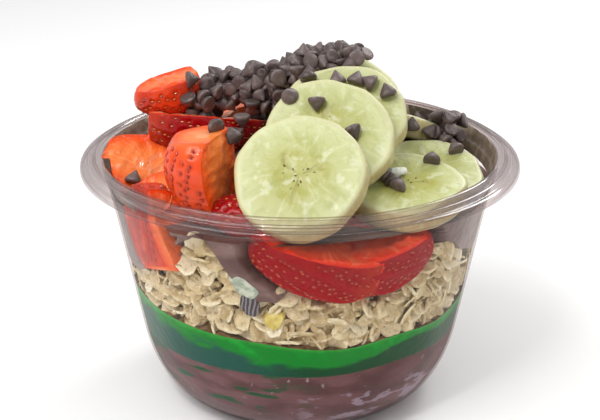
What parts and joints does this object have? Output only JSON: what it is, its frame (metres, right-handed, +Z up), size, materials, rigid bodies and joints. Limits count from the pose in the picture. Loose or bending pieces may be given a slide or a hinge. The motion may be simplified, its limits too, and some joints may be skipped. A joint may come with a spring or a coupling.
{
  "type": "acai bowl",
  "caption": "Clear round tub of layered acai blend, green blend and granola, heaped with cut strawberries, banana slices and small chocolate chips.",
  "frame": {"origin": "centre of the tub's foot, on the surface that the tub stands on", "axes": "+Z up along the tub's axis, -Y towards the person who eats from it, +X to that person's right"},
  "size_m": [0.138, 0.138, 0.114],
  "materials": {
    "clear_plastic": "thin clear plastic sheet, slightly smoky, smooth and glossy, with moulded rings at the rim",
    "acai": "frozen fruit blend, dull mauve brown, smooth with paler icy patches",
    "green_blend": "smooth blended layer, emerald green turning teal, moist",
    "granola": "toasted oat flakes in crumbly clusters, beige, dry",
    "banana": "cut banana, pale yellow green face with a cream edge, moist",
    "strawberry": "ripe strawberry, wet red skin with small seeds, peach to orange cut faces",
    "chocolate": "dark chocolate with a faint bloom, dull"
  },
  "bodies": {
    "root": {"bowl": "clear_plastic", "acai_base": "acai", "green_layer": "green_blend", "granola": "granola", "acai_scoop": "acai", "banana_1": "banana", "banana_2": "banana", "banana_3": "banana", "banana_4": "banana", "banana_5": "banana", "banana_6": "banana", "banana_7": "banana", "banana_8": "banana", "strawberry_1": "strawberry", "strawberry_2": "strawberry", "strawberry_3": "strawberry", "strawberry_4": "strawberry", "strawberry_5": "strawberry", "strawberry_6": "strawberry", "strawberry_7": "strawberry", "strawberry_8": "strawberry", "strawberry_9": "strawberry", "strawberry_10": "strawberry", "chips_heap": "chocolate", "chips_back": "chocolate"}
  },
  "joints": []
}
